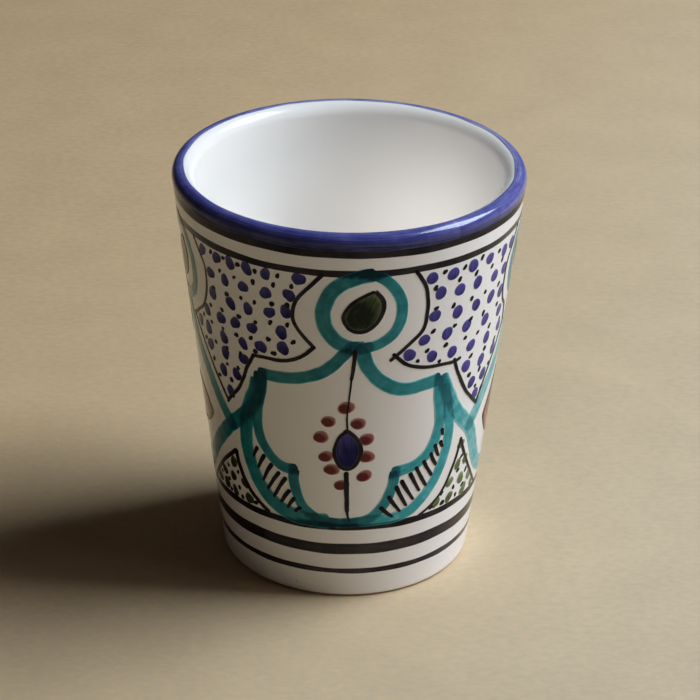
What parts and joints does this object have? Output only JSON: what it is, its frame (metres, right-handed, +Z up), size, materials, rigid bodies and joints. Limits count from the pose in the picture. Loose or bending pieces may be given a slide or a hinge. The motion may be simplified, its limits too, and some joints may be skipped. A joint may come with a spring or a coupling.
{
  "type": "ceramic cup",
  "caption": "Tapered drinking cup of glazed clay with a rolled blue lip, black bands and hand-painted lobed panels on a dotted ground.",
  "frame": {"origin": "centre of the foot ring, on the surface that the cup stands on", "axes": "+Z up along the cup's axis, -Y towards the front of the main painted panel, +X to its right"},
  "size_m": [0.0852, 0.0852, 0.1026],
  "materials": {
    "clay": "bare fired clay",
    "white_glaze": "glossy white glaze",
    "cobalt_paint": "glossy cobalt blue brushwork in the glaze",
    "black_paint": "glossy brown-black brushwork in the glaze",
    "teal_paint": "glossy streaked teal brushwork in the glaze",
    "green_paint": "glossy olive green brushwork in the glaze",
    "red_paint": "glossy brick red dabs in the glaze",
    "rust_paint": "glossy rust red brushwork in the glaze"
  },
  "bodies": {
    "root": {"clay_body": "clay", "inside_glaze": "white_glaze", "outside_glaze": "white_glaze", "rim_band": "cobalt_paint", "rim_line": "black_paint", "panel_top_line": "black_paint", "panel_foot_line": "black_paint", "wide_base_band": "black_paint", "narrow_base_band": "black_paint", "medallion_rings": "teal_paint", "cartouche_outlines": "teal_paint", "trellis_lines": "teal_paint", "leaf_fills": "green_paint", "leaf_outlines": "black_paint", "spandrel_outlines": "black_paint", "cobalt_dots": "cobalt_paint", "spandrel_specks": "black_paint", "bud_fills": "cobalt_paint", "bud_outlines": "black_paint", "stem_lines": "black_paint", "berries": "red_paint", "hatch_strokes": "black_paint", "corner_outlines": "black_paint", "green_dabs": "green_paint", "corner_specks": "black_paint", "almond_fills": "rust_paint", "almond_outlines": "black_paint"}
  },
  "joints": []
}
